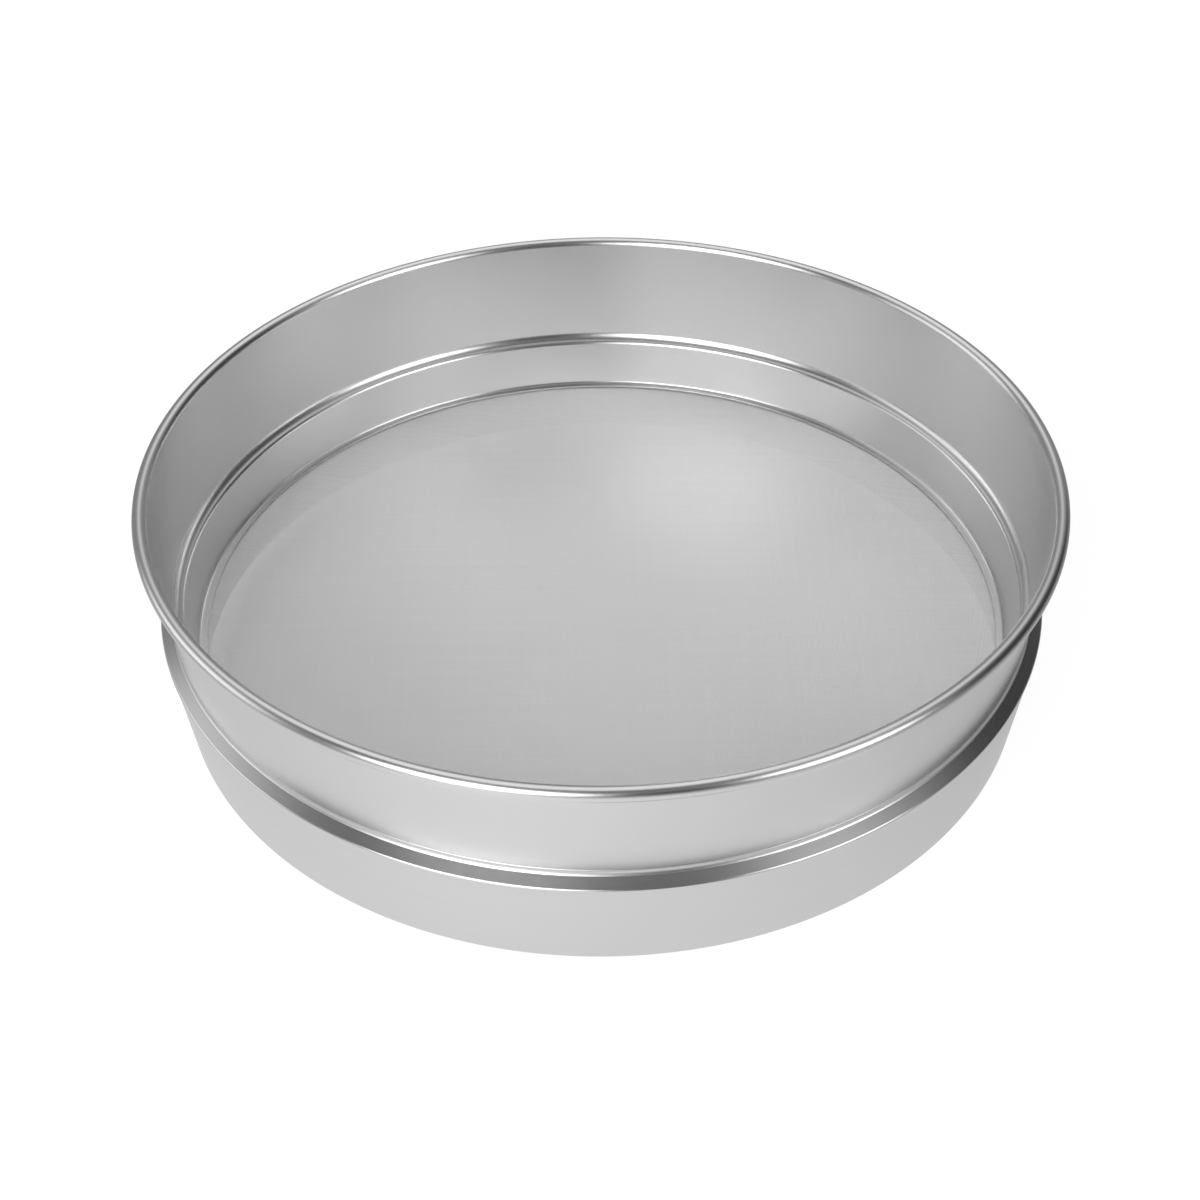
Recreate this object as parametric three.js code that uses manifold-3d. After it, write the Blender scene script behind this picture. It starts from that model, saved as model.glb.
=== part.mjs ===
// A round steel sieve: a rolled-rim hoop standing in a shouldered skirt, with a fine cloth clamped under it.
// Millimetres, +Z up, origin on the table at the middle of the foot.

import * as THREE from 'three';
import { mergeGeometries, mergeVertices } from 'three/addons/utils/BufferGeometryUtils.js';
import Module from 'manifold-3d';

const wasm = await Module();
wasm.setup();

// Sizes of the whole sieve
const rimDiameter = 305; // over the rolled rim
const height = 77.4; // from the table to the top of the rim
const sheet = 0.7; // thickness of every sheet-metal piece
const seatGap = 0.2; // clearance between pieces that seat on each other

// Upper hoop: rolled rim, wall, inside ledge, collar and the flange over the cloth
const rimBeadDiameter = 4.8; // outside of the roll
const rimSlit = 0.35; // left open between the rolled edge and the wall
const wallTaper = 6.2; // degrees that the wall leans in going down
const ledgeHeight = 38.6; // table to the top of the ledge
const ledgeWidth = 3.7; // how far the ledge steps in
const ledgeSlope = 28.4; // degrees that the ledge falls towards the middle
const ledgeBend = 0.4; // inside radius of the bends above and below the ledge
const collarTaper = 9.2; // degrees that the collar leans in going down
const flangeHeight = 19.9; // table to the top of the flange over the cloth
const flangeBend = 0.8; // inside radius of the bend from the collar into the flange
const flangeLand = 1.6; // flat width of the flange past its bend

// Lower hoop: shoulder, skirt and turned-in foot
const shoulderTuck = 0.7; // how far the shoulder runs in under the ledge
const shoulderReach = 4.5; // how far the shoulder stands out from the foot of the wall
const shoulderSlope = 31; // degrees that the shoulder falls going outwards
const shoulderBend = 0.2; // inside radius of the bend at the shoulder's edge
const rollDepth = 2.6; // height of the shoulder's rolled edge
const rollTaper = 18; // degrees that the rolled edge leans in going down
const rollBend = 3; // inside radius of the bend from the rolled edge into the skirt
const skirtTaper = 7.8; // degrees that the skirt leans in going down
const footBend = 0.8; // inside radius of the bend into the foot
const footWidth = 5.8; // width of the turned-in foot

// Smaller pieces
const clothThickness = 0.4; // two crossing wires
const netPitch = 22.4; // middle to middle of the grid of openings that stands for the cloth's far finer mesh
const netOpening = 12; // side of each square opening, which opens the share of the floor that the mesh does
const netMargin = 2; // least width of plain cloth between the openings and the flange
const clampHeight = 10; // how far the clamp ring's wall stands up round the collar
const clampBend = 0.8; // inside radius of the bend in the clamp ring's angle
const brazeRadius = 1.8; // hollow of the brazed fillet between the wall and the shoulder
const brazeEdge = 0.15; // thickness of the fillet's two edges

// Facets
const facetsAround = 72; // facets in a full turn, a multiple of 4
const bendFacet = 24; // widest facet of a bend, in degrees
const wireFacets = 8; // facets around the rim wire

const radians = THREE.MathUtils.degToRad;
const point = (r, z) => new THREE.Vector2(r, z);
const along = (start, direction, distance) => start.clone().addScaledVector(direction, distance);
const leftOf = (direction) => point(-direction.y, direction.x);

// Directions in the half section, r to the right and z up
const leaning = (taper) => point(-Math.sin(radians(taper)), -Math.cos(radians(taper)));
const fallingIn = (slope) => point(-Math.cos(radians(slope)), -Math.sin(radians(slope)));
const fallingOut = (slope) => point(Math.cos(radians(slope)), -Math.sin(radians(slope)));
const inwards = point(-1, 0);

// Where two lines of the half section cross
function crossing(startA, directionA, startB, directionB) {
  const between = startB.clone().sub(startA);
  return along(startA, directionA, between.cross(directionB) / directionA.cross(directionB));
}

// The point of a line at a height
function atHeight(start, direction, z) {
  return along(start, direction, (z - start.y) / direction.y);
}

// Points of an arc about a centre, angles in degrees
function arc(centre, radius, from, to) {
  const steps = Math.max(1, Math.ceil(Math.abs(to - from) / bendFacet));
  const points = [];
  for (let step = 0; step <= steps; step += 1) {
    const angle = radians(from + ((to - from) * step) / steps);
    points.push(point(centre.x + radius * Math.cos(angle), centre.y + radius * Math.sin(angle)));
  }
  return points;
}

// A corner rounded to a radius, as the points of its arc
function bend(before, corner, after, radius) {
  const back = before.clone().sub(corner).normalize();
  const on = after.clone().sub(corner).normalize();
  const half = Math.acos(THREE.MathUtils.clamp(back.dot(on), -1, 1)) / 2;
  const middle = back.clone().add(on).normalize();
  const centre = along(corner, middle, radius / Math.sin(half));
  const reach = radius / Math.tan(half);
  const first = along(corner, back, reach).sub(centre).angle();
  const turn = along(corner, on, reach).sub(centre).angle() - first;
  const shortTurn = Math.atan2(Math.sin(turn), Math.cos(turn));
  const from = THREE.MathUtils.radToDeg(first);
  return arc(centre, radius, from, from + THREE.MathUtils.radToDeg(shortTurn));
}

// A face of bent sheet: straight runs between corners, each corner given as [point, bend radius]
function bentFace(start, corners, end) {
  const stops = [start, ...corners.map(([corner]) => corner), end];
  const face = [start];
  corners.forEach(([corner, radius], index) => {
    face.push(...bend(stops[index], corner, stops[index + 2], radius));
  });
  face.push(end);
  return face;
}

// The closed section of a sheet whose face is given, with the thickness laid on the face's left (+) or right (-)
function sheetSection(face, thickness) {
  const back = face.map((here, index) => {
    const into = here.clone().sub(face[Math.max(index - 1, 0)]).normalize();
    const out = face[Math.min(index + 1, face.length - 1)].clone().sub(here).normalize();
    const sides = [into, out].filter((direction) => direction.lengthSq() > 0).map(leftOf);
    const middle = sides.reduce((sum, side) => sum.clone().add(side)).normalize();
    return along(here, middle, thickness / middle.dot(sides[0]));
  });
  return [...face, ...back.reverse()];
}

// A section turned into a full ring
function turned(section) {
  const outline = THREE.ShapeUtils.area(section) < 0 ? [...section].reverse() : [...section];
  outline.push(outline[0].clone());
  return new THREE.LatheGeometry(outline, facetsAround).rotateX(Math.PI / 2);
}

// A geometry as a solid that can be cut, and back again
function closedSolid(geometry) {
  geometry.deleteAttribute('normal');
  geometry.deleteAttribute('uv');
  const merged = mergeVertices(geometry);
  const vertProperties = merged.attributes.position.array;
  const triVerts = Uint32Array.from(merged.index.array);
  return new wasm.Manifold(new wasm.Mesh({ numProp: 3, vertProperties, triVerts }));
}

function solidGeometry(solid) {
  const { vertProperties, triVerts } = solid.getMesh();
  const geometry = new THREE.BufferGeometry();
  geometry.setAttribute('position', new THREE.BufferAttribute(vertProperties, 3));
  geometry.setIndex(new THREE.BufferAttribute(triVerts, 1));
  geometry.computeVertexNormals();
  return geometry;
}

function steelPiece(name, geometry, colour, roughness) {
  const material = new THREE.MeshStandardMaterial({ color: colour, roughness, metalness: 1 });
  const mesh = new THREE.Mesh(geometry, material);
  mesh.name = name;
  return mesh;
}

// Lines that several pieces share, on the inner face of the upper hoop
const beadRadius = rimBeadDiameter / 2;
const beadCentre = point(rimDiameter / 2 - beadRadius, height - beadRadius);
const wallLine = leaning(wallTaper);
const ledgeLine = fallingIn(ledgeSlope);
const collarLine = leaning(collarTaper);
const wallTop = along(beadCentre, leftOf(wallLine), -beadRadius);
const ledgeOuter = atHeight(wallTop, wallLine, ledgeHeight);
const ledgeInner = along(ledgeOuter, ledgeLine, ledgeWidth / -ledgeLine.x);
const flangeCorner = atHeight(ledgeInner, collarLine, flangeHeight);
const flangeBendReach = flangeBend * Math.tan(radians(90 - collarTaper) / 2);
const flangeInner = point(flangeCorner.x - flangeBendReach - flangeLand, flangeHeight);

function upperHoop() {
  const clearOfWall = (beadRadius - sheet - rimSlit) / beadRadius;
  const rollStart = -180 - wallTaper + THREE.MathUtils.radToDeg(Math.acos(clearOfWall));
  const underRim = arc(beadCentre, beadRadius, rollStart, 0);
  const overRim = arc(beadCentre, beadRadius, 0, 90);
  const intoWall = arc(beadCentre, beadRadius, 90, 180 - wallTaper);
  const roll = [...underRim, ...overRim.slice(1), ...intoWall.slice(1, -1)];
  const corners = [
    [ledgeOuter, ledgeBend],
    [ledgeInner, ledgeBend + sheet],
    [flangeCorner, flangeBend],
  ];
  const face = [...roll, ...bentFace(wallTop, corners, flangeInner)];
  return steelPiece('upper_hoop', turned(sheetSection(face, sheet)), 0xc4c4c3, 0.32);
}

function rimWire() {
  const wireRadius = beadRadius - sheet - seatGap;
  const section = new THREE.EllipseCurve(beadCentre.x, beadCentre.y, wireRadius, wireRadius);
  return steelPiece('rim_wire', turned(section.getPoints(wireFacets).slice(0, -1)), 0x9a9a98, 0.5);
}

// Lines that the skirt and the brazed fillet share: the outer faces of the upper hoop above and under its ledge
const wallOutside = along(wallTop, leftOf(wallLine), sheet);
const ledgeUnderside = along(ledgeOuter, leftOf(ledgeLine), sheet);
const wallFoot = crossing(wallOutside, wallLine, ledgeUnderside, ledgeLine);
const shoulderLine = fallingOut(shoulderSlope);
const shoulderStart = along(wallFoot, ledgeLine, shoulderTuck / -ledgeLine.x).sub(point(0, seatGap));
const shoulderEdge = along(shoulderStart, shoulderLine, (shoulderTuck + shoulderReach) / shoulderLine.x);

function lowerHoop() {
  const rollEnd = atHeight(shoulderEdge, leaning(rollTaper), shoulderEdge.y - rollDepth);
  const footCorner = atHeight(rollEnd, leaning(skirtTaper), 0);
  const corners = [
    [shoulderEdge, shoulderBend + sheet],
    [rollEnd, rollBend],
    [footCorner, footBend + sheet],
  ];
  const face = bentFace(shoulderStart, corners, along(footCorner, inwards, footWidth));
  return steelPiece('lower_hoop', turned(sheetSection(face, -sheet)), 0xc4c4c3, 0.32);
}

// The corner between the wall and the shoulder, at a distance from both
function shoulderCorner(distance) {
  const wallSide = along(wallOutside, leftOf(wallLine), distance);
  const shoulderSide = along(shoulderStart, leftOf(shoulderLine), distance);
  return crossing(wallSide, wallLine, shoulderSide, shoulderLine);
}

function shoulderBraze() {
  const corner = shoulderCorner(seatGap + brazeEdge);
  const hollow = bend(along(corner, wallLine, -1), corner, along(corner, shoulderLine, 1), brazeRadius);
  const wallTip = along(hollow[0], leftOf(wallLine), -brazeEdge);
  const shoulderTip = along(hollow.at(-1), leftOf(shoulderLine), -brazeEdge);
  const section = [shoulderCorner(seatGap), wallTip, ...hollow, shoulderTip];
  return steelPiece('shoulder_braze', turned(section), 0xc4c4c3, 0.35);
}

// Heights under the flange, from the top down
const clothMiddle = flangeHeight - sheet - seatGap - clothThickness / 2;
const clampTop = clothMiddle - clothThickness / 2 - seatGap;
const clampLine = along(flangeCorner, leftOf(collarLine), sheet + seatGap);
const clampCorner = atHeight(clampLine, collarLine, clampTop);

// A flat disc at the height of the cloth
function flatDisc(radius, thickness) {
  const disc = new THREE.CylinderGeometry(radius, radius, thickness, facetsAround);
  return closedSolid(disc.rotateX(Math.PI / 2).translate(0, 0, clothMiddle));
}

// The grid's openings, cut round at a radius, as one cutter that is deeper than the cloth
function netOpenings(radius) {
  const depth = 2 * clothThickness;
  const rows = Math.ceil(radius / netPitch);
  const squares = [];
  for (let row = -rows; row < rows; row += 1) {
    for (let column = -rows; column < rows; column += 1) {
      const x = (column + 0.5) * netPitch;
      const y = (row + 0.5) * netPitch;
      const square = new THREE.BoxGeometry(netOpening, netOpening, depth).translate(x, y, clothMiddle);
      if (Math.hypot(x, y) < radius) squares.push(square);
    }
  }
  return closedSolid(mergeGeometries(squares)).intersect(flatDisc(radius, depth));
}

function sieveCloth() {
  const disc = flatDisc(clampCorner.x - clampBend, clothThickness);
  const net = disc.subtract(netOpenings(flangeInner.x - netMargin));
  return steelPiece('sieve_cloth', solidGeometry(net), 0xb9b9b8, 0.45);
}

function clampRing() {
  const top = atHeight(clampLine, collarLine, clampTop + clampHeight);
  const face = bentFace(point(flangeInner.x, clampTop), [[clampCorner, clampBend]], top);
  return steelPiece('clamp_ring', turned(sheetSection(face, -sheet)), 0xbdbdbc, 0.4);
}

const sieve = new THREE.Group();
sieve.add(upperHoop(), rimWire(), lowerHoop(), shoulderBraze(), sieveCloth(), clampRing());

export default sieve;
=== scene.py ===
import bpy
import bmesh
import random
from math import cos, pi, radians, sin, sqrt, tan
from mathutils import Matrix, Vector


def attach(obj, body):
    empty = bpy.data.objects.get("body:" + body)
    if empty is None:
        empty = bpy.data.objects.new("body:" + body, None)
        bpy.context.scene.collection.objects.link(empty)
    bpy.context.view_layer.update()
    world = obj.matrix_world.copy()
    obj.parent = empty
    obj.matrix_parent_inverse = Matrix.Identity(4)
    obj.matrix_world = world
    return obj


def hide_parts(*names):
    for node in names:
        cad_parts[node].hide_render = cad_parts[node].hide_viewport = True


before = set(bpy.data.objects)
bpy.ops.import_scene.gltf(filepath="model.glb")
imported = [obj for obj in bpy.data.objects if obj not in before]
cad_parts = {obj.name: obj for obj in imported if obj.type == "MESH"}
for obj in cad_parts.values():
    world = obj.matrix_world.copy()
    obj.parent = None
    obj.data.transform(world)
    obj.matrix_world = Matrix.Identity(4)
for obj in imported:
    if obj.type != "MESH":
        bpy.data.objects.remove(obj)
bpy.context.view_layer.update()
print("frame: packed sieve loaded")

mm = 0.001
weld = 0.001      # mm within which points are joined


# helpers for nodes

def addNode(tree, kind, **settings):
    node = tree.nodes.new(kind)
    for key, value in settings.items():
        setattr(node, key, value)
    return node


def wire(tree, source, target):
    tree.links.new(source, target)


def mathNode(tree, operation, first, second=None):
    node = addNode(tree, "ShaderNodeMath", operation=operation)
    for slotIndex, value in enumerate((first, second)):
        if value is None:
            continue
        if isinstance(value, (int, float)):
            node.inputs[slotIndex].default_value = value
        else:
            wire(tree, value, node.inputs[slotIndex])
    return node.outputs[0]


def rangeNode(tree, value, low, high, start=0.0, end=1.0, curve="LINEAR"):
    node = addNode(tree, "ShaderNodeMapRange", interpolation_type=curve)
    for label, number in (("From Min", start), ("From Max", end), ("To Min", low), ("To Max", high)):
        node.inputs[label].default_value = number
    wire(tree, value, node.inputs["Value"])
    return node.outputs["Result"]


def newGroup(name, inputs, outputs):
    group = bpy.data.node_groups.new(name, "ShaderNodeTree")
    for label, value in inputs.items():
        socket = group.interface.new_socket(label, in_out="INPUT", socket_type="NodeSocketFloat")
        socket.default_value = value
    for label in outputs:
        group.interface.new_socket(label, in_out="OUTPUT", socket_type="NodeSocketFloat")
    return group, group.nodes.new("NodeGroupInput"), group.nodes.new("NodeGroupOutput")


# marks of spinning and polishing that run round the axis: how many per metre of sheet, and round the turn
markNoise = {
    "linesTurn": 2.5, "linesDetail": 2.0,
    "bands": 260.0, "bandsTurn": 0.8, "bandsDetail": 3.0,
    "patches": 40.0, "patchesDetail": 4.0,
}


def makeTurnedMarks():
    group, given, made = newGroup(
        "turnedMarks", {"Lines per metre": 5000.0, "Patches per turn": 5.0}, ("Lines", "Bands", "Patches"))
    place = addNode(group, "ShaderNodeTexCoord").outputs["Object"]
    parts = addNode(group, "ShaderNodeSeparateXYZ")
    wire(group, place, parts.inputs[0])
    flat = addNode(group, "ShaderNodeCombineXYZ")
    wire(group, parts.outputs["X"], flat.inputs["X"])
    wire(group, parts.outputs["Y"], flat.inputs["Y"])
    length = addNode(group, "ShaderNodeVectorMath", operation="LENGTH")
    wire(group, flat.outputs[0], length.inputs[0])
    around = addNode(group, "ShaderNodeVectorMath", operation="NORMALIZE")
    wire(group, flat.outputs[0], around.inputs[0])
    aroundParts = addNode(group, "ShaderNodeSeparateXYZ")
    wire(group, around.outputs[0], aroundParts.inputs[0])
    across = mathNode(group, "SUBTRACT", parts.outputs["Z"], length.outputs["Value"])

    def ringNoise(perMetre, turnScale, detail):
        spot = addNode(group, "ShaderNodeCombineXYZ")
        wire(group, mathNode(group, "MULTIPLY", aroundParts.outputs["X"], turnScale), spot.inputs["X"])
        wire(group, mathNode(group, "MULTIPLY", aroundParts.outputs["Y"], turnScale), spot.inputs["Y"])
        wire(group, mathNode(group, "MULTIPLY", across, perMetre), spot.inputs["Z"])
        noise = addNode(group, "ShaderNodeTexNoise")
        noise.inputs["Scale"].default_value = 1.0
        noise.inputs["Detail"].default_value = detail
        wire(group, spot.outputs[0], noise.inputs["Vector"])
        return noise.outputs["Fac"]

    lines = ringNoise(given.outputs["Lines per metre"], markNoise["linesTurn"], markNoise["linesDetail"])
    bands = ringNoise(markNoise["bands"], markNoise["bandsTurn"], markNoise["bandsDetail"])
    patches = ringNoise(markNoise["patches"], given.outputs["Patches per turn"], markNoise["patchesDetail"])
    wire(group, lines, made.inputs["Lines"])
    wire(group, bands, made.inputs["Bands"])
    wire(group, patches, made.inputs["Patches"])
    return group


# edges that hands and cloths rub bright

def makeRubbedEdges():
    group, given, made = newGroup("rubbedEdges", {"Start": 0.5, "Full": 0.6}, ("Rub",))
    shape = addNode(group, "ShaderNodeNewGeometry")
    band = addNode(group, "ShaderNodeMapRange")
    wire(group, shape.outputs["Pointiness"], band.inputs["Value"])
    wire(group, given.outputs["Start"], band.inputs["From Min"])
    wire(group, given.outputs["Full"], band.inputs["From Max"])
    wire(group, band.outputs["Result"], made.inputs["Rub"])
    return group


turnedMarks = makeTurnedMarks()
rubbedEdges = makeRubbedEdges()


def placeGroup(tree, group, **values):
    node = addNode(tree, "ShaderNodeGroup", node_tree=group)
    for label, value in values.items():
        node.inputs[label.replace("_", " ")].default_value = value
    return node


def mixColour(tree, mask, dark, light):
    mix = addNode(tree, "ShaderNodeMix", data_type="RGBA")
    mix.inputs["A"].default_value = (*dark, 1)
    mix.inputs["B"].default_value = (*light, 1)
    wire(tree, mask, mix.inputs["Factor"])
    return mix.outputs["Result"]


def startMaterial(name):
    material = bpy.data.materials.new(name)
    material.use_nodes = True
    tree = material.node_tree
    return material, tree, tree.nodes["Principled BSDF"]


# turned sheet steel, satin, with its marks running round

def makeTurnedSteel(name, look):
    material, tree, shader = startMaterial(name)
    marks = placeGroup(tree, turnedMarks, Lines_per_metre=look["lines"], Patches_per_turn=look["patches"])
    rub = placeGroup(tree, rubbedEdges, Start=look["rubStart"], Full=look["rubFull"])
    tone = mathNode(tree, "ADD", mathNode(tree, "MULTIPLY", marks.outputs["Lines"], look["lineShare"]),
                    mathNode(tree, "MULTIPLY", marks.outputs["Bands"], 1 - look["lineShare"]))
    colour = mixColour(tree, tone, look["dark"], look["light"])
    wire(tree, colour, shader.inputs["Base Color"])
    rough = rangeNode(tree, marks.outputs["Patches"], look["roughLow"], look["roughHigh"])
    lineRough = mathNode(tree, "MULTIPLY", marks.outputs["Lines"], look["lineRough"])
    polish = mathNode(tree, "MULTIPLY", rub.outputs["Rub"], look["rubPolish"])
    rubbed = mathNode(tree, "SUBTRACT", mathNode(tree, "ADD", rough, lineRough), polish)
    wire(tree, rubbed, shader.inputs["Roughness"])
    bump = addNode(tree, "ShaderNodeBump")
    bump.inputs["Strength"].default_value = look["bump"]
    bump.inputs["Distance"].default_value = look["bumpDepth"] * mm
    wire(tree, marks.outputs["Lines"], bump.inputs["Height"])
    wire(tree, bump.outputs["Normal"], shader.inputs["Normal"])
    shader.inputs["Metallic"].default_value = 1.0
    shader.inputs["Anisotropic"].default_value = look["stretch"]
    shader.inputs["Anisotropic Rotation"].default_value = look["stretchTurn"]
    tangent = addNode(tree, "ShaderNodeTangent", direction_type="RADIAL", axis="Z")
    wire(tree, tangent.outputs["Tangent"], shader.inputs["Tangent"])
    return material


hoopLook = {
    "lines": 4000.0, "patches": 3.0,            # fine marks per metre of sheet, smudges per turn
    "dark": (0.64, 0.64, 0.64), "light": (0.69, 0.69, 0.69), "lineShare": 0.5,
    "roughLow": 0.21, "roughHigh": 0.27, "lineRough": 0.03,
    "rubStart": 0.52, "rubFull": 0.60, "rubPolish": 0.05,
    "bump": 0.05, "bumpDepth": 0.02, "stretch": 0.74, "stretchTurn": 0.25,
}
hoopSteel = makeTurnedSteel("hoopSteel", hoopLook)

fillerLook = dict(hoopLook, lines=1800.0, roughLow=0.26, roughHigh=0.34, bump=0.1, stretch=0.5)
fillerMetal = makeTurnedSteel("fillerMetal", fillerLook)

rimWireLook = dict(hoopLook, lines=900.0, dark=(0.42, 0.42, 0.42), light=(0.52, 0.52, 0.52),
                   roughLow=0.35, roughHigh=0.5, stretch=0.0)
drawnWire = makeTurnedSteel("drawnWire", rimWireLook)
print("materials: turned steel, filler and drawn wire")


# fine wire of the cloth, with streaks along and across it that are a little lighter or darker

def makeClothWire(look):
    material, tree, shader = startMaterial("clothWire")
    place = addNode(tree, "ShaderNodeTexCoord").outputs["Object"]

    def streaks(scale, detail):
        stretch = addNode(tree, "ShaderNodeMapping")
        stretch.inputs["Scale"].default_value = scale
        wire(tree, place, stretch.inputs["Vector"])
        noise = addNode(tree, "ShaderNodeTexNoise")
        noise.inputs["Scale"].default_value = 1.0
        noise.inputs["Detail"].default_value = detail
        wire(tree, stretch.outputs[0], noise.inputs["Vector"])
        return noise.outputs["Fac"]

    along = streaks((look["streakLong"], look["streakFine"], 0.0), look["streakDetail"])
    cross = streaks((look["streakFine"], look["streakLong"], 0.0), look["streakDetail"])
    cloudy = streaks((look["cloud"], look["cloud"], 0.0), look["cloudDetail"])
    tone = mathNode(tree, "ADD", mathNode(tree, "MULTIPLY", along, look["alongShare"]),
                    mathNode(tree, "MULTIPLY", cross, 1 - look["alongShare"]))
    wire(tree, mixColour(tree, tone, look["dark"], look["light"]), shader.inputs["Base Color"])
    wire(tree, rangeNode(tree, cloudy, look["roughLow"], look["roughHigh"]), shader.inputs["Roughness"])
    bump = addNode(tree, "ShaderNodeBump")
    bump.inputs["Strength"].default_value = look["bump"]
    bump.inputs["Distance"].default_value = look["bumpDepth"] * mm
    wire(tree, tone, bump.inputs["Height"])
    wire(tree, bump.outputs["Normal"], shader.inputs["Normal"])
    shader.inputs["Metallic"].default_value = 1.0
    return material


clothLook = {
    "dark": (0.90, 0.90, 0.90), "light": (0.98, 0.98, 0.98), "roughLow": 0.54, "roughHigh": 0.64,
    "streakLong": 12.0, "streakFine": 900.0, "streakDetail": 2.0, "alongShare": 0.6,      # streaks per metre
    "cloud": 9.0, "cloudDetail": 3.0, "bump": 0.2, "bumpDepth": 0.01,
}
clothWire = makeClothWire(clothLook)


# pieces

def finishPiece(name, bm, material, node):
    mesh = bpy.data.meshes.new(name)
    bm.to_mesh(mesh)
    bm.free()
    mesh.polygons.foreach_set("use_smooth", [True] * len(mesh.polygons))
    mesh.materials.append(material)
    piece = bpy.data.objects.new(name, mesh)
    bpy.context.scene.collection.objects.link(piece)
    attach(piece, "root")
    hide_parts(node)
    print("piece:", name, len(mesh.polygons), "faces")
    return piece


def bentLine(bm, corners, segments):
    verts = [bm.verts.new((r * mm, 0, z * mm)) for r, z, bend in corners]
    for pair in zip(verts, verts[1:]):
        bm.edges.new(pair)
    for index, (r, z, bend) in enumerate(corners):
        if bend == 0:
            continue
        before = verts[index].co - Vector((corners[index - 1][0], 0, corners[index - 1][1])) * mm
        after = Vector((corners[index + 1][0], 0, corners[index + 1][1])) * mm - verts[index].co
        reach = bend * mm * tan(before.angle(after) / 2)
        bmesh.ops.bevel(bm, geom=[verts[index]], offset=reach, offset_type="OFFSET", segments=segments,
                        profile=0.5, affect="VERTICES", material=-1)
    return verts


def spinRound(bm, steps):
    bmesh.ops.spin(bm, geom=bm.verts[:] + bm.edges[:], cent=(0, 0, 0), axis=(0, 0, 1),
                   angle=2 * pi, steps=steps, use_merge=True)
    bmesh.ops.remove_doubles(bm, verts=bm.verts, dist=weld * mm)
    bmesh.ops.recalc_face_normals(bm, faces=bm.faces)


# the cut edges of the sheets, in steps, least angle in degrees and weight of the flat faces in the shading
edgeLook = {"steps": 2, "angle": 50, "weight": 90}


def thicken(piece, sheet, edge):
    wall = piece.modifiers.new("sheet", "SOLIDIFY")
    wall.thickness = sheet * mm
    wall.offset = 0.0
    wall.use_even_offset = True
    soften = piece.modifiers.new("cutEdges", "BEVEL")
    soften.width = edge * mm
    soften.segments = edgeLook["steps"]
    soften.limit_method = "ANGLE"
    soften.angle_limit = radians(edgeLook["angle"])
    even = piece.modifiers.new("evenShading", "WEIGHTED_NORMAL")
    even.mode = "FACE_AREA"
    even.weight = edgeLook["weight"]


# corners are radius, height and bend radius at the middle of the sheet, in mm
upperHoop = {
    "rimCentre": (150.1, 75.0), "rimRoll": 304.2, "rimSteps": 44,
    "corners": [(148.062, 75.221, 0), (143.910, 37.000, 3.55), (141.190, 36.005, 1.15),
                (137.583, 19.550, 1.15), (135.046, 19.550, 0)],
    "sheet": 0.7, "cutEdge": 0.12, "bendSteps": 8, "turnSteps": 256,
}


def makeUpperHoop():
    bm = bmesh.new()
    verts = bentLine(bm, upperHoop["corners"], upperHoop["bendSteps"])
    rimR, rimZ = upperHoop["rimCentre"]
    bmesh.ops.spin(bm, geom=[verts[0]], cent=(rimR * mm, 0, rimZ * mm), axis=(0, 1, 0),
                   angle=radians(upperHoop["rimRoll"]), steps=upperHoop["rimSteps"])
    spinRound(bm, upperHoop["turnSteps"])
    piece = finishPiece("upperHoop", bm, hoopSteel, "upper_hoop")
    thicken(piece, upperHoop["sheet"], upperHoop["cutEdge"])


lowerHoop = {
    "corners": [(143.508, 37.281, 0), (148.469, 34.299, 0.55), (147.700, 31.935, 3.35),
                (143.374, 0.350, 1.15), (137.879, 0.350, 0)],
    "sheet": 0.7, "cutEdge": 0.12, "bendSteps": 8, "turnSteps": 256,
}


def makeLowerHoop():
    bm = bmesh.new()
    bentLine(bm, lowerHoop["corners"], lowerHoop["bendSteps"])
    spinRound(bm, lowerHoop["turnSteps"])
    piece = finishPiece("lowerHoop", bm, hoopSteel, "lower_hoop")
    thicken(piece, lowerHoop["sheet"], lowerHoop["cutEdge"])


clampRing = {
    "corners": [(135.046, 18.050, 0), (138.176, 18.050, 1.15), (140.430, 28.344, 0)],
    "sheet": 0.7, "cutEdge": 0.12, "bendSteps": 6, "turnSteps": 256,
}


def makeClampRing():
    bm = bmesh.new()
    bentLine(bm, clampRing["corners"], clampRing["bendSteps"])
    spinRound(bm, clampRing["turnSteps"])
    piece = finishPiece("clampRing", bm, hoopSteel, "clamp_ring")
    thicken(piece, clampRing["sheet"], clampRing["cutEdge"])


# the fillet's corner lies in the sheets, and its hollow face runs out on the wall and on the shoulder
shoulderFillet = {
    "corner": (144.306, 37.231), "wallEnd": (144.461, 39.200), "shoulderEnd": (145.904, 36.171),
    "root": (143.950, 37.350), "bend": 1.8, "bendSteps": 10, "turnSteps": 256,
}


def makeShoulderFillet():
    bm = bmesh.new()
    wallEnd, corner, shoulderEnd = (shoulderFillet[key] for key in ("wallEnd", "corner", "shoulderEnd"))
    verts = bentLine(bm, [(*wallEnd, 0), (*corner, shoulderFillet["bend"]), (*shoulderEnd, 0)],
                     shoulderFillet["bendSteps"])
    rootR, rootZ = shoulderFillet["root"]
    root = bm.verts.new((rootR * mm, 0, rootZ * mm))
    bm.edges.new((root, verts[0]))
    bm.edges.new((root, verts[2]))
    spinRound(bm, shoulderFillet["turnSteps"])
    finishPiece("shoulderFillet", bm, fillerMetal, "shoulder_braze")


rimWire = {"radius": 1.5, "sides": 16, "turnSteps": 256}


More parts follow.
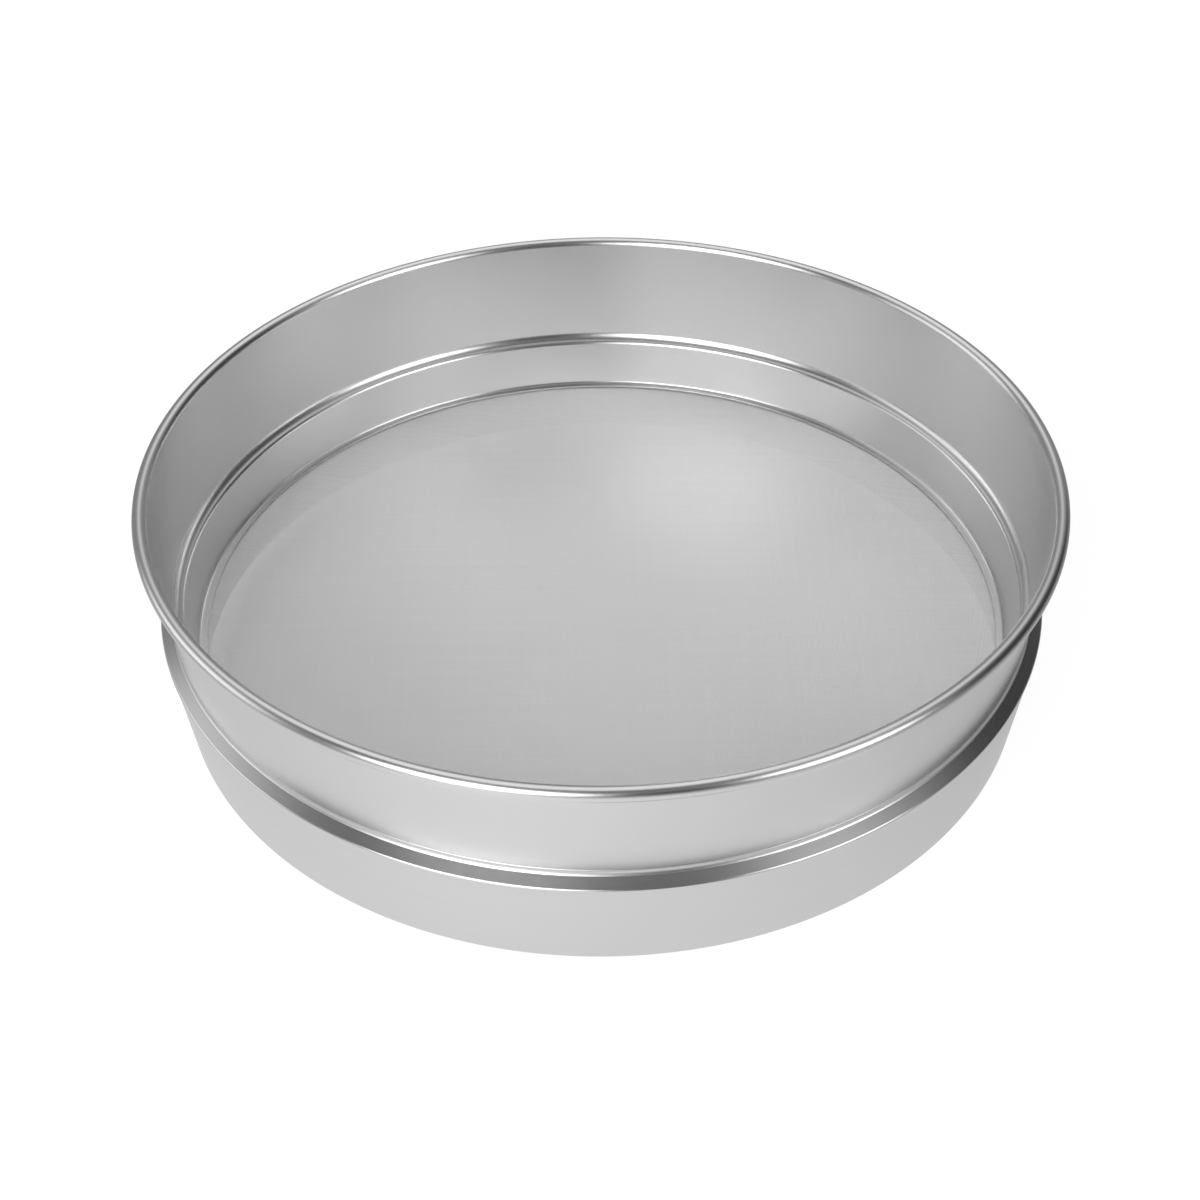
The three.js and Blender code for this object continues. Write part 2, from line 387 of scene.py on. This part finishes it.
def makeRimWire():
    bm = bmesh.new()
    rimR, rimZ = upperHoop["rimCentre"]
    spot = Matrix.Translation((rimR * mm, 0, rimZ * mm)) @ Matrix.Rotation(pi / 2, 4, "X")
    bmesh.ops.create_circle(bm, segments=rimWire["sides"], radius=rimWire["radius"] * mm, matrix=spot)
    spinRound(bm, rimWire["turnSteps"])
    finishPiece("rimWire", bm, drawnWire, "rim_wire")


# two layers of straight wires that cross, turned a little against the camera
wireCloth = {"radius": 137.1, "pitch": 0.30, "wire": 0.17, "middle": 18.8, "sides": 6, "turn": -14.0,
             "uneven": 0.12, "seed": 7, "sharp": 75}


def makeWireCloth():
    bm = bmesh.new()
    thick, pitch, radius = (wireCloth[key] * mm for key in ("wire", "pitch", "radius"))
    middle = wireCloth["middle"] * mm
    rows = int(radius / pitch) - 1
    turn = radians(wireCloth["turn"])
    drift = random.Random(wireCloth["seed"])
    for quarter, level in ((0, middle - thick / 2), (pi / 2, middle + thick / 2)):
        lie = Matrix.Rotation(turn + quarter, 4, "Z")
        for row in range(-rows, rows + 1):
            offset = (row + drift.uniform(-1, 1) * wireCloth["uneven"]) * pitch
            reach = sqrt(radius ** 2 - offset ** 2)
            spot = Matrix.Translation((0, offset, level)) @ Matrix.Rotation(pi / 2, 4, "Y")
            bmesh.ops.create_cone(bm, cap_ends=True, cap_tris=False, segments=wireCloth["sides"],
                                  radius1=thick / 2, radius2=thick / 2, depth=2 * reach, matrix=lie @ spot)
    piece = finishPiece("wireCloth", bm, clothWire, "sieve_cloth")
    piece.data.set_sharp_from_angle(angle=radians(wireCloth["sharp"]))


makeUpperHoop()
makeLowerHoop()
makeClampRing()
makeShoulderFillet()
makeRimWire()
makeWireCloth()


# floor: plain white to the camera outside the foot, and to the steel a pool of light in front of the sieve
floorLook = {
    "half": 3.0, "cells": 8,
    "light": (0.84, 0.84, 0.84), "dark": (0.82, 0.82, 0.82), "grain": 6.0, "rough": 0.8,
    "white": 0.85, "whiteGlow": 1.08,            # share of plain white that the camera sees, and its glow
    "shadeEnd": 0.130, "whiteStart": 0.138,      # the sieve shades the floor inside its foot
    "poolCentre": (-0.07, -0.29, 0.0), "poolReach": 0.57, "poolGlow": 1.14, "poolEdge": 0.29,
}


def alongDirection(tree, vector, direction):
    node = addNode(tree, "ShaderNodeVectorMath", operation="DOT_PRODUCT")
    node.inputs[1].default_value = direction
    wire(tree, vector, node.inputs[0])
    return node.outputs["Value"]


def compassDirection(turn, rise):
    flat = cos(radians(rise))
    return (flat * cos(radians(turn)), flat * sin(radians(turn)), sin(radians(rise)))


def makeFloor():
    bm = bmesh.new()
    bmesh.ops.create_grid(bm, x_segments=floorLook["cells"], y_segments=floorLook["cells"],
                          size=floorLook["half"])
    mesh = bpy.data.meshes.new("floor")
    bm.to_mesh(mesh)
    bm.free()
    floor = bpy.data.objects.new("floor", mesh)
    bpy.context.scene.collection.objects.link(floor)
    material, tree, shader = startMaterial("paleFloor")
    place = addNode(tree, "ShaderNodeTexCoord").outputs["Object"]
    noise = addNode(tree, "ShaderNodeTexNoise")
    noise.inputs["Scale"].default_value = floorLook["grain"]
    wire(tree, place, noise.inputs["Vector"])
    wire(tree, mixColour(tree, noise.outputs["Fac"], floorLook["dark"], floorLook["light"]),
         shader.inputs["Base Color"])
    shader.inputs["Roughness"].default_value = floorLook["rough"]
    white = addNode(tree, "ShaderNodeEmission")
    white.inputs["Strength"].default_value = floorLook["whiteGlow"]
    plain = addNode(tree, "ShaderNodeMixShader")
    fromMiddle = addNode(tree, "ShaderNodeVectorMath", operation="LENGTH")
    wire(tree, place, fromMiddle.inputs[0])
    whiteShare = rangeNode(tree, fromMiddle.outputs["Value"], 0.0, floorLook["white"],
                           floorLook["shadeEnd"], floorLook["whiteStart"], "SMOOTHSTEP")
    wire(tree, whiteShare, plain.inputs["Fac"])
    wire(tree, shader.outputs["BSDF"], plain.inputs[1])
    wire(tree, white.outputs["Emission"], plain.inputs[2])
    # painted light: to every ray but the camera's the floor glows as a painted pool of light, brightest near
    # the pool's centre and dimmer out to its reach
    distance = addNode(tree, "ShaderNodeVectorMath", operation="DISTANCE")
    distance.inputs[1].default_value = floorLook["poolCentre"]
    wire(tree, place, distance.inputs[0])
    pool = rangeNode(tree, distance.outputs["Value"], floorLook["poolGlow"], floorLook["poolEdge"],
                     0.0, floorLook["poolReach"])
    paintedPoolGlow = addNode(tree, "ShaderNodeEmission")
    wire(tree, pool, paintedPoolGlow.inputs["Strength"])
    blend = addNode(tree, "ShaderNodeMixShader")
    wire(tree, addNode(tree, "ShaderNodeLightPath").outputs["Is Camera Ray"], blend.inputs["Fac"])
    wire(tree, paintedPoolGlow.outputs["Emission"], blend.inputs[1])
    wire(tree, plain.outputs["Shader"], blend.inputs[2])
    wire(tree, blend.outputs["Shader"], tree.nodes["Material Output"].inputs["Surface"])
    mesh.materials.append(material)


makeFloor()


# studio light: a dim tent, white to the camera, with soft glowing areas and dark flags
# each is placed by compass turn and rise, and its full core and faded edge are in degrees from its middle
studio = {
    "tent": 0.28, "least": 0.02,
    "areas": [
        {"turn": 241, "rise": 28, "core": 14, "edge": 29, "glow": 3.8},      # key, front left
        {"turn": 325, "rise": 30, "core": 10, "edge": 22, "glow": 3.0},      # fill, front right
        {"turn": 172, "rise": 12, "core": 10, "edge": 30, "glow": 1.15},     # strip at the left
        {"turn": 95, "rise": 62, "core": 14, "edge": 36, "glow": 0.90},      # from above, behind
        {"turn": 272, "rise": 72, "core": 12, "edge": 24, "glow": -0.15},    # dark flag over the camera
        {"turn": 198, "rise": 60, "core": 8, "edge": 22, "glow": -0.20},     # dark flag high at the left
        {"turn": 284, "rise": 24, "core": 6, "edge": 20, "glow": -0.28},     # dark flag in front
        {"turn": 22, "rise": 18, "core": 16, "edge": 34, "glow": -0.24},     # dark flag at the right
    ],
}


def makeStudio():
    world = bpy.data.worlds.new("studio")
    bpy.context.scene.world = world
    world.use_nodes = True
    tree = world.node_tree
    direction = addNode(tree, "ShaderNodeTexCoord").outputs["Generated"]
    total = studio["tent"]
    for area in studio["areas"]:
        facing = alongDirection(tree, direction, compassDirection(area["turn"], area["rise"]))
        soft = rangeNode(tree, facing, 0.0, area["glow"], cos(radians(area["edge"])),
                         cos(radians(area["core"])), "SMOOTHSTEP")
        total = mathNode(tree, "ADD", soft, total)
    total = mathNode(tree, "MAXIMUM", total, studio["least"])
    seen = addNode(tree, "ShaderNodeLightPath").outputs["Is Camera Ray"]
    wire(tree, mathNode(tree, "MAXIMUM", total, seen), tree.nodes["Background"].inputs["Strength"])
    tree.nodes["Background"].inputs["Color"].default_value = (1, 1, 1, 1)


makeStudio()
print("studio: soft tent")


# camera at the photograph's view
cameraLook = {"place": (0.0, -0.5677, 0.4863), "down": 39.338, "yaw": -0.049, "roll": 0.455, "lens": 63.71,
              "sensor": 36.0, "near": 0.01}


def makeCamera():
    data = bpy.data.cameras.new("camera")
    data.lens = cameraLook["lens"]
    data.sensor_width = cameraLook["sensor"]
    data.clip_start = cameraLook["near"]
    holder = bpy.data.objects.new("camera", data)
    bpy.context.scene.collection.objects.link(holder)
    turn = (Matrix.Rotation(radians(-cameraLook["yaw"]), 4, "Z")
            @ Matrix.Rotation(radians(90 - cameraLook["down"]), 4, "X")
            @ Matrix.Rotation(radians(-cameraLook["roll"]), 4, "Z"))
    holder.matrix_world = Matrix.Translation(cameraLook["place"]) @ turn
    bpy.context.scene.camera = holder


makeCamera()
bpy.context.scene.view_settings.view_transform = "Standard"
print("camera: set")
